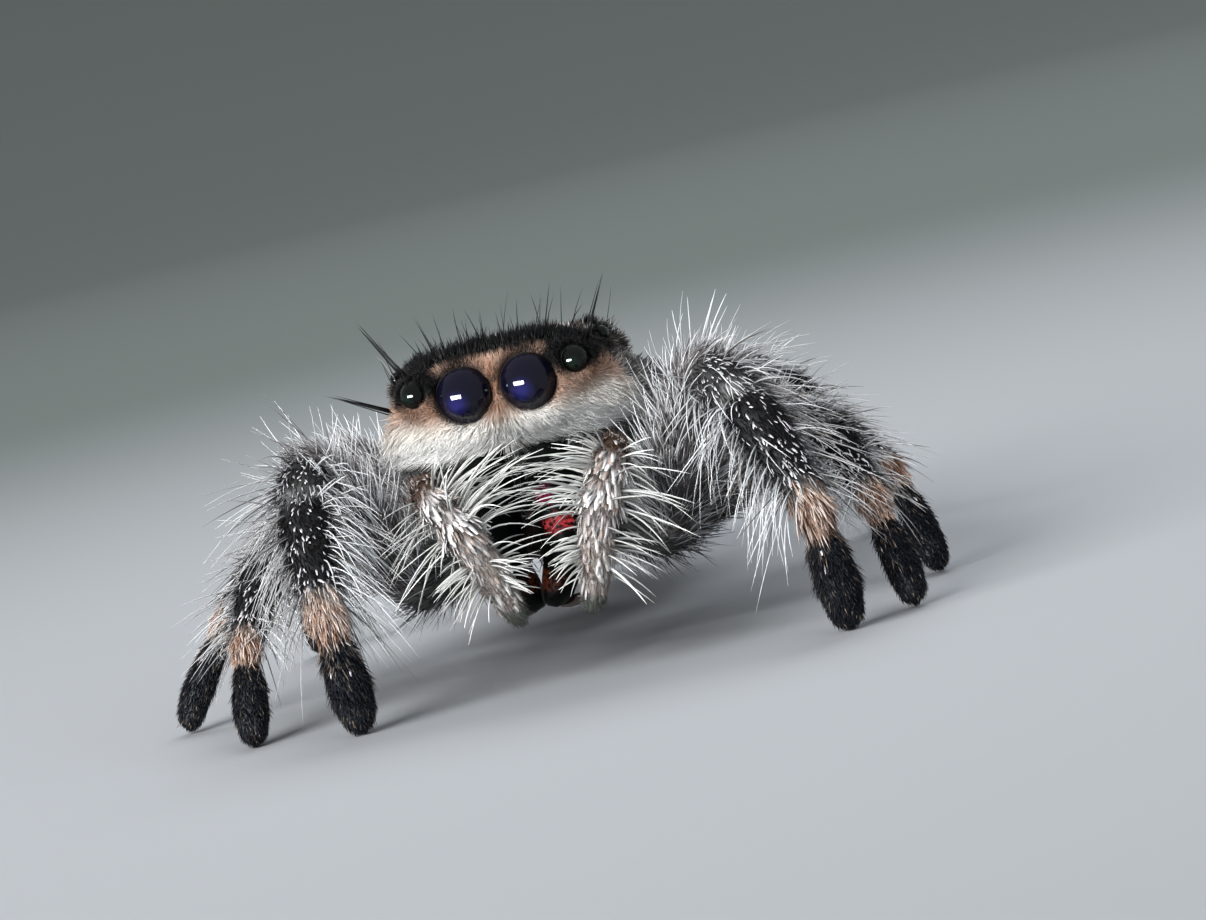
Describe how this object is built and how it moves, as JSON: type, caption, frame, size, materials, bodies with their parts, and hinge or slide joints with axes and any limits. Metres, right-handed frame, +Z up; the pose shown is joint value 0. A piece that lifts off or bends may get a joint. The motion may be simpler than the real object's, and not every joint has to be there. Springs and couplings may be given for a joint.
{
  "type": "jumping spider",
  "caption": "Life-size jumping spider at rest with its head raised: large round front eyes, hairy jaws and feelers, bristly legs reaching forward and an oval abdomen.",
  "frame": {"origin": "on the floor under the middle of the whole outline, legs included", "axes": "+Z up from the floor, -Y the way the spider faces, +X its left side"},
  "size_m": [0.0156, 0.017, 0.0064],
  "materials": {
    "lens": "wet-looking domed lens, near black with a deep blue depth",
    "horn": "polished dark red-brown horn",
    "jaw": "hard shell, black-green with a pinkish metallic sheen",
    "head_coat": "short dense fur, white on the cheeks, tan round the eyes, black along the top of the face",
    "abdomen_coat": "dense flat fur, dark grey with pale bands and spots",
    "palp_coat": "grey-brown with white scale hairs and long pale bristles",
    "leg_coat": "black shell with white scale hairs and long grey-white fringes",
    "foot_coat": "dense short black fur with an orange-brown ring at its top",
    "under_coat": "thin grey-brown fur over dark shell"
  },
  "bodies": {
    "root": {"abdomen": "abdomen_coat", "carapace": "head_coat", "chelicera_left": "jaw", "chelicera_right": "jaw", "eye_anterior_lateral_left": "lens", "eye_anterior_lateral_right": "lens", "eye_anterior_median_left": "lens", "eye_anterior_median_right": "lens", "eye_posterior_lateral_left": "lens", "eye_posterior_lateral_right": "lens", "eye_posterior_median_left": "lens", "eye_posterior_median_right": "lens", "fang_left": "horn", "fang_right": "horn", "leg_1_left_coxa": "under_coat", "leg_1_left_femur": "leg_coat", "leg_1_left_foot": "foot_coat", "leg_1_left_shin": "leg_coat", "leg_1_right_coxa": "under_coat", "leg_1_right_femur": "leg_coat", "leg_1_right_foot": "foot_coat", "leg_1_right_shin": "leg_coat", "leg_2_left_coxa": "under_coat", "leg_2_left_femur": "leg_coat", "leg_2_left_foot": "foot_coat", "leg_2_left_shin": "leg_coat", "leg_2_right_coxa": "under_coat", "leg_2_right_femur": "leg_coat", "leg_2_right_foot": "foot_coat", "leg_2_right_shin": "leg_coat", "leg_3_left_coxa": "under_coat", "leg_3_left_femur": "leg_coat", "leg_3_left_foot": "foot_coat", "leg_3_left_shin": "leg_coat", "leg_3_right_coxa": "under_coat", "leg_3_right_femur": "leg_coat", "leg_3_right_foot": "foot_coat", "leg_3_right_shin": "leg_coat", "leg_4_left_coxa": "under_coat", "leg_4_left_femur": "leg_coat", "leg_4_left_foot": "foot_coat", "leg_4_left_shin": "leg_coat", "leg_4_right_coxa": "under_coat", "leg_4_right_femur": "leg_coat", "leg_4_right_foot": "foot_coat", "leg_4_right_shin": "leg_coat", "mouthparts": "under_coat", "palp_left_femur": "palp_coat", "palp_left_shank": "palp_coat", "palp_left_tarsus": "palp_coat", "palp_right_femur": "palp_coat", "palp_right_shank": "palp_coat", "palp_right_tarsus": "palp_coat", "pedicel": "under_coat", "spinneret_anterior_left": "under_coat", "spinneret_anterior_right": "under_coat", "spinneret_posterior_left": "under_coat", "spinneret_posterior_right": "under_coat", "sternum": "under_coat"}
  },
  "joints": []
}
